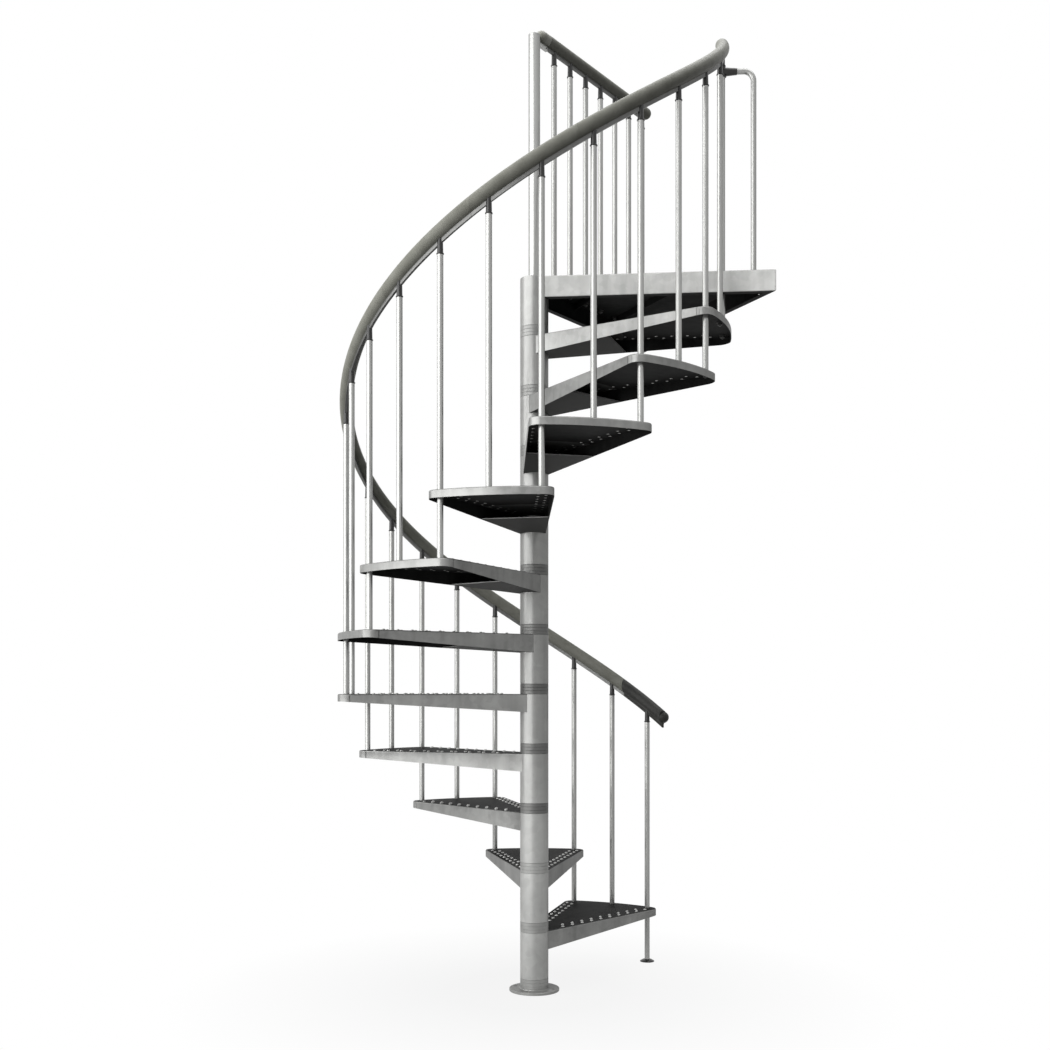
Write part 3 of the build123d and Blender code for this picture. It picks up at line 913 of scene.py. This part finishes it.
def balusters():
    """All balusters, from the first one on the floor to those of the landing."""
    reach = RAIL_ABOVE_NOSE - BALUSTER_BELOW_RAIL
    first = moved(tube(BALUSTER_RADIUS, FOOT_DISC_HEIGHT, RISER + reach), rim_place(0))
    piece("first_tube", first, TUBE_ZINC, "galvanised_tube", "first_baluster")
    joining = repeated(tube(BALUSTER_RADIUS, 0, RISER + reach), joining_places())
    piece("joining_tubes", joining, TUBE_ZINC, "galvanised_tube", "joining_balusters")
    middle = repeated(tube(BALUSTER_RADIUS, 0, RISER / 2 + reach), middle_places())
    piece("middle_tubes", middle, TUBE_ZINC, "galvanised_tube", "middle_balusters")
    bar = tube(BALUSTER_RADIUS, 0, LANDING_RAIL_HEIGHT - BALUSTER_BELOW_RAIL)
    piece("landing_tubes", repeated(bar, landing_places()), TUBE_ZINC, "galvanised_tube", "landing_balusters")


def baluster_nuts():
    """Nuts under the sheets, below the feet of the balusters and of the closing tube."""
    closing_place = polar(CLOSING_TUBE_REACH, -LANDING_HOLE_ANGLE, LANDING_TOP)
    nuts = repeated(nut(), joining_places() + middle_places() + landing_places() + [closing_place])
    piece("baluster_nuts", nuts, NUT_ZINC, "galvanised_tube")


def baluster_foot():
    """Round foot of the first baluster, with a sloping top."""
    outline = [(0, 0), (FOOT_DISC_RADIUS, 0), (FOOT_DISC_RADIUS, FOOT_DISC_HEIGHT / 3),
               (FOOT_DISC_TOP, FOOT_DISC_HEIGHT), (0, FOOT_DISC_HEIGHT)]
    disc = moved(turned(outline, POST_SIDES), rim_place(0))
    piece("foot_disc", disc, FITTING_GREY, "dark_fitting", "baluster_foot")


def landing_post():
    """Post on top of the pole that carries the near end of the landing rail."""
    post = tube(POST_RADIUS, LANDING_TOP, POST_TOP, POST_SIDES, POST_ROUNDING)
    piece("post_tube", post, TUBE_ZINC, "galvanised_tube", "landing_post")


# ---- handrail -------------------------------------------------------------------
def rail_spans():
    """First and last place of each length of the handrail."""
    joints = [RAIL_START_STEP] + [RAIL_FIRST_JOINT + 2 * number for number in range(TREAD_COUNT)]
    ends = [joint - RAIL_JOINT_GAP for joint in joints[1:]] + [RAIL_END_STEP]
    return list(zip(joints, ends))


def rail_ends():
    """Places of the lower and upper end of the stair handrail, each facing outwards."""
    return [rail_place(RAIL_START_STEP) @ turn(180), rail_place(RAIL_END_STEP)]


def upright_section(height=0.0):
    """Place of a section on the circle of the rail. It is stretched upwards, so that it keeps
    its size across the slope."""
    stretch = Matrix.Diagonal((1, 1, RAIL_STRETCH, 1))
    return shift(BALUSTER_CIRCLE, 0, 0) @ stretch @ shift(0, 0, height) @ turn(90, "X")


def swept(bm, start, end):
    """Turns an open section at angle zero up the helix between two places and closes its ends."""
    angle = BALUSTER_STEP * (end - start)
    steps = ceil(angle / HELIX_STEP)
    rise = RISER / TREAD_ANGLE * angle
    bmesh.ops.transform(bm, matrix=polar(0, step_angle(start), rail_height(start)), verts=bm.verts[:])
    bmesh.ops.spin(bm, geom=bm.verts[:] + bm.edges[:], cent=(0, 0, 0), axis=(0, 0, 1),
                   dvec=(0, 0, rise / steps), angle=radians(angle), steps=steps, use_merge=False)
    close_rims(bm)
    return finished(bm)


def rail_round(start, end):
    """Round length of the handrail."""
    bm = bmesh.new()
    bmesh.ops.create_circle(bm, segments=RAIL_SIDES, radius=RAIL_RADIUS)
    bmesh.ops.transform(bm, matrix=upright_section(), verts=bm.verts[:])
    return swept(bm, start, end)


def rail_strip(start, end):
    """Flat strip under a length of the handrail."""
    bm = bmesh.new()
    bmesh.ops.create_grid(bm, x_segments=1, y_segments=1, size=0.5)
    bmesh.ops.delete(bm, geom=bm.faces[:], context="FACES_ONLY")
    size = Matrix.Diagonal((STRIP_WIDTH, STRIP_DEPTH, 1, 1))
    bmesh.ops.transform(bm, matrix=upright_section(STRIP_MIDDLE) @ size, verts=bm.verts[:])
    return swept(bm, start, end)


def squared(mesh, step, side):
    """Rail length with one end cut square to its run."""
    at = rail_place(step)
    return cut(mesh, at.translation, at.to_3x3() @ Vector((0, side, 0)))


def dome():
    """Half ball on the end of a rail, which points along +Y."""
    root = [(0, -DOME_IN_RAIL), (RAIL_RADIUS, -DOME_IN_RAIL)]
    leans = [radians(lean) for lean in range(0, 90, DOME_STEP)]
    ball = [(RAIL_RADIUS * cos(lean), RAIL_RADIUS * sin(lean)) for lean in leans]
    return moved(turned(root + ball + [(0, RAIL_RADIUS)], RAIL_SIDES), turn(-90, "X"))


def strip_end():
    """Square end of the strip, which stands out under a dome."""
    bar = block(STRIP_WIDTH, STRIP_PROUD, STRIP_DEPTH, STRIP_END_ROUNDING)
    return moved(bar, shift(0, STRIP_PROUD / 2, STRIP_MIDDLE))


def fitting(slope):
    """Fitting on a baluster: a skirt and a tapered body, cut to the slope of the rail."""
    radius, top = FITTING_SKIRT_RADIUS, FITTING_SKIRT_HEIGHT
    skirt = [(0, 0), (radius - SMALL_ROUNDING, 0), (radius, SMALL_ROUNDING),
             (radius, top - ROUNDING), (radius - ROUNDING, top)]
    body = [(FITTING_FOOT_RADIUS, top + FITTING_NECK), (FITTING_TOP_RADIUS, BALUSTER_BELOW_RAIL),
            (0, BALUSTER_BELOW_RAIL)]
    lean = radians(slope)
    height = BALUSTER_BELOW_RAIL - (RAIL_RADIUS - FITTING_IN_RAIL) / cos(lean)
    across = Vector((0, -sin(lean), cos(lean)))
    return cut(turned(skirt + body, FITTING_SIDES), Vector((0, 0, height)), across)


def rail_lengths():
    """Round lengths of the handrail, with a dome on both its ends. The lowest length is dark."""
    lower_end, upper_end = rail_ends()
    rounds = [rail_round(*span) for span in rail_spans()]
    rounds[0] = squared(rounds[0], RAIL_START_STEP, -1)
    rounds[-1] = squared(rounds[-1], RAIL_END_STEP, 1)
    upper = joined(rounds[1:] + [moved(dome(), upper_end)])
    piece("rail_lengths", upper, RAIL_GREY, "handrail_grey", "handrail_lengths_a", "handrail_lengths_b")
    lower = joined([rounds[0], moved(dome(), lower_end)])
    piece("rail_lower_end", lower, RAIL_DARK, "handrail_grey", "handrail_end_caps")


def rail_strips():
    """Strips under the lengths of the handrail, which stand out under both domes."""
    lower_end, upper_end = rail_ends()
    strips = [rail_strip(*span) for span in rail_spans()]
    lower = joined([strips[0], moved(strip_end(), lower_end)])
    piece("rail_lower_strip", lower, RAIL_DARK, "handrail_grey")
    upper = joined(strips[1:] + [moved(strip_end(), upper_end)])
    piece("rail_strips", upper, STRIP_ZINC, "handrail_grey")


def stair_collars():
    """Fittings between the stair's balusters and its handrail."""
    places = [rim_place(step, rail_height(step) - BALUSTER_BELOW_RAIL) for step in range(LAST_STEP + 1)]
    collars = repeated(fitting(RAIL_SLOPE), places)
    piece("stair_collars", collars, FITTING_GREY, "dark_fitting", "stair_fittings")


# ---- landing rail ---------------------------------------------------------------
def landing_rail_place(radius, height=0.0):
    """Place on the landing rail or below it, with Y away from the post."""
    return polar(radius, LANDING_SIDE, LANDING_RAIL_Z + height) @ turn(-90)


def landing_rail_round(start, end):
    """Straight round length of the landing rail between two distances from the pole."""
    bar = tube(RAIL_RADIUS, 0, end - start, RAIL_SIDES, SMALL_ROUNDING)
    return moved(bar, landing_rail_place(start) @ turn(-90, "X"))


def landing_rail_bar():
    """Straight round rail with a dome at its far end."""
    return joined([landing_rail_round(LANDING_RAIL_SEAM + LANDING_SEAM_GAP / 2, LANDING_RAIL_END),
                   moved(dome(), landing_rail_place(LANDING_RAIL_END))])


def landing_rail_cap():
    """Separate domed cap at the post end of the landing rail."""
    return joined([landing_rail_round(LANDING_RAIL_START, LANDING_RAIL_SEAM - LANDING_SEAM_GAP / 2),
                   moved(dome(), landing_rail_place(LANDING_RAIL_START) @ turn(180))])


def landing_rail_strip():
    """Strip under the landing rail, from the tab to short of the far end."""
    length = LANDING_STRIP_END - TAB_REACH
    bar = block(STRIP_WIDTH, length, STRIP_DEPTH)
    return moved(bar, landing_rail_place(TAB_REACH + length / 2, STRIP_MIDDLE))


def tab_place(radius):
    """Place at mid-height of the tab."""
    return landing_rail_place(radius, -RAIL_RADIUS - TAB_DEPTH / 2)


def rail_tab():
    """Upright tab from the post to the landing rail."""
    reach = TAB_REACH - POST_RADIUS + TAB_IN_POST
    return moved(block(STRIP_WIDTH, reach, TAB_DEPTH), tab_place(TAB_REACH - reach / 2))


def tab_screw():
    """Round screw through the tab that stands out on each side."""
    half = STRIP_WIDTH / 2 + SCREW_PROUD
    screw = tube(SCREW_RADIUS, -half, half, SCREW_SIDES, SMALL_ROUNDING)
    return moved(screw, tab_place(SCREW_ALONG) @ turn(90, "Y"))


def landing_rail():
    """Short straight rail beside the landing, from the post outwards."""
    piece("landing_rail_bar", landing_rail_bar(), RAIL_GREY, "handrail_grey", "landing_rail")
    piece("landing_rail_strip", landing_rail_strip(), STRIP_ZINC, "handrail_grey")
    piece("landing_rail_cap", landing_rail_cap(), CAP_GREY, "handrail_grey")
    piece("rail_tab", rail_tab(), TAB_ZINC, "galvanised_pole", "rail_bracket")
    piece("tab_screw", tab_screw(), FITTING_GREY, "dark_fitting")
    lift = shift(0, 0, LANDING_RAIL_HEIGHT - BALUSTER_BELOW_RAIL)
    collars = repeated(fitting(0), [place @ lift for place in landing_places()])
    piece("landing_collars", collars, FITTING_GREY, "dark_fitting", "landing_fittings")


# ---- closing tube ---------------------------------------------------------------
def closing_tube():
    """Bent tube from the sleeve out and down to the landing."""
    start = BALUSTER_CIRCLE + SOCKET_REACH - CLOSING_TUBE_IN_SOCKET
    bend = CLOSING_TUBE_REACH - CLOSING_TUBE_BEND
    below_bend = CLOSING_TUBE_Z - CLOSING_TUBE_BEND
    bm = bmesh.new()
    bmesh.ops.create_circle(bm, segments=BAR_SIDES, radius=BALUSTER_RADIUS)
    bmesh.ops.transform(bm, matrix=shift(start, 0, CLOSING_TUBE_Z) @ turn(90, "Y"), verts=bm.verts[:])
    verts, edges = drawn_on(bm, bm.edges[:], (bend - start, 0, 0))
    made = bmesh.ops.spin(bm, geom=verts + edges, cent=(bend, 0, below_bend), axis=(0, 1, 0),
                          dvec=(0, 0, 0), angle=pi / 2, steps=TUBE_BEND_STEPS, use_merge=False)
    drawn_on(bm, only(bmesh.types.BMEdge, made["geom_last"]), (0, 0, LANDING_TOP - below_bend))
    close_rims(bm)
    return moved(finished(bm), turn(-LANDING_HOLE_ANGLE))


def closing_sleeve():
    """Tee on the last baluster: a sleeve with a ring at its foot and a tapered socket."""
    low, high = -SLEEVE_HEIGHT / 2, SLEEVE_HEIGHT / 2
    radius, top = SLEEVE_RING_RADIUS, low + SLEEVE_RING_HEIGHT
    ring = [(0, low), (radius - SMALL_ROUNDING, low), (radius, low + SMALL_ROUNDING),
            (radius, top - SMALL_ROUNDING), (radius - SMALL_ROUNDING, top)]
    sleeve = [(SLEEVE_RADIUS, top), (SLEEVE_RADIUS, high - SLEEVE_ROUNDING),
              (SLEEVE_RADIUS - SLEEVE_ROUNDING, high), (0, high)]
    socket = [(0, 0), (SOCKET_RADIUS, 0), (SOCKET_END_RADIUS, SOCKET_REACH - ROUNDING),
              (SOCKET_END_RADIUS - ROUNDING, SOCKET_REACH), (0, SOCKET_REACH)]
    tee = joined([turned(ring + sleeve, RAIL_SIDES), moved(turned(socket, RAIL_SIDES), turn(90, "Y"))])
    return moved(tee, polar(BALUSTER_CIRCLE, -LANDING_HOLE_ANGLE, CLOSING_TUBE_Z))


def closing_rail():
    """Tube and tee that close the gap beside the end of the handrail."""
    piece("closing_bar", closing_tube(), TUBE_ZINC, "galvanised_tube", "closing_tube")
    piece("closing_tee", closing_sleeve(), FITTING_GREY, "dark_fitting", "closing_sleeve")


# ---- studio ---------------------------------------------------------------------
FLOOR_RADIUS = 14
FLOOR_SIDES = 64
FLOOR_DROP = 0.0005
FLOOR_GREY = 0.24
FLOOR_ROUGHNESS = 0.9
SHADOW_EDGE = (0.3, 1.3)
WHITE_IN_SHADOW = 0.88
WORLD_LIGHT = 0.15
KEY_LEAN = 10
EYE = (-1.9799, -4.1859, 1.080)
EYE_ANGLE = 65.1
LENS = 44.15
SENSOR = 36
FRAME_SHIFT = 0.157


def floor():
    """Round white floor that keeps the shadow of the stair near its foot."""
    bm = bmesh.new()
    bmesh.ops.create_circle(bm, cap_ends=True, segments=FLOOR_SIDES, radius=FLOOR_RADIUS)
    made = bpy.data.objects.new("studio_floor", finished(bm))
    bpy.context.scene.collection.objects.link(made)
    made.location.z = -FLOOR_DROP
    finish = Finish("studio_white")
    finish.shader.inputs["Base Color"].default_value = (FLOOR_GREY, FLOOR_GREY, FLOOR_GREY, 1)
    finish.shader.inputs["Roughness"].default_value = FLOOR_ROUGHNESS
    distance = finish.vector("LENGTH", finish.coordinates, result="Value")
    white = finish.spread(distance, *SHADOW_EDGE, WHITE_IN_SHADOW, 1.0)
    seen = finish.math("MULTIPLY", finish.seen_by("Is Camera Ray", "Is Glossy Ray"), white)
    glow = finish.node("ShaderNodeEmission", None, Strength=1.0).outputs[0]
    blend = finish.node("ShaderNodeMixShader", None, i0=seen, i1=finish.shader.outputs[0], i2=glow)
    output = finish.tree.nodes["Material Output"]
    finish.tree.links.new(blend.outputs[0], output.inputs["Surface"])
    made.data.materials.append(finish.material)


def world():
    """White surroundings for the eye and for gloss, and a softer light on the stair."""
    made = bpy.data.worlds.new("studio_world")
    made.use_nodes = True
    bpy.context.scene.world = made
    nodes = Nodes(made.node_tree)
    seen = nodes.seen_by("Is Camera Ray", "Is Glossy Ray", "Is Transmission Ray")
    background = made.node_tree.nodes["Background"]
    background.inputs["Color"].default_value = (1, 1, 1, 1)
    strength = nodes.spread(seen, 0, 1, WORLD_LIGHT, 1.0)
    made.node_tree.links.new(strength, background.inputs["Strength"])


def softbox(name, place, width, length, brightness):
    """Area lamp that shines along -Z of its place. Its brightness is what a mirror shows."""
    light = bpy.data.lights.new(name, "AREA")
    light.shape = "RECTANGLE"
    light.size = width
    light.size_y = length
    light.energy = brightness * pi * width * length
    lamp = bpy.data.objects.new(name, light)
    lamp.matrix_world = place
    bpy.context.scene.collection.objects.link(lamp)


def lamps():
    """Large lamp beside the stair, on its left as the camera sees it, and a weaker one above."""
    facing_pole = turn(90) @ turn(90 - KEY_LEAN, "X")
    beside = polar(radius=4.5, angle=190, height=3.0) @ facing_pole
    above = shift(x=0, y=0, z=7.5)
    softbox("key", beside, width=7.2, length=5.6, brightness=3.4)
    softbox("overhead", above, width=7.0, length=7.0, brightness=2.4)


def camera():
    """Level camera about a metre above the floor, with its frame shifted up."""
    lens = bpy.data.cameras.new("camera")
    lens.lens = LENS
    lens.sensor_width = SENSOR
    lens.shift_y = FRAME_SHIFT
    eye = bpy.data.objects.new("camera", lens)
    eye.matrix_world = shift(*EYE) @ turn(EYE_ANGLE - 90) @ turn(90, "X")
    bpy.context.scene.collection.objects.link(eye)
    bpy.context.scene.camera = eye


# ---- assembly -------------------------------------------------------------------
pole()
treads()
landing()
balusters()
baluster_nuts()
baluster_foot()
landing_post()
rail_lengths()
rail_strips()
stair_collars()
landing_rail()
closing_rail()
floor()
world()
lamps()
camera()
bpy.context.scene.view_settings.view_transform = "Standard"
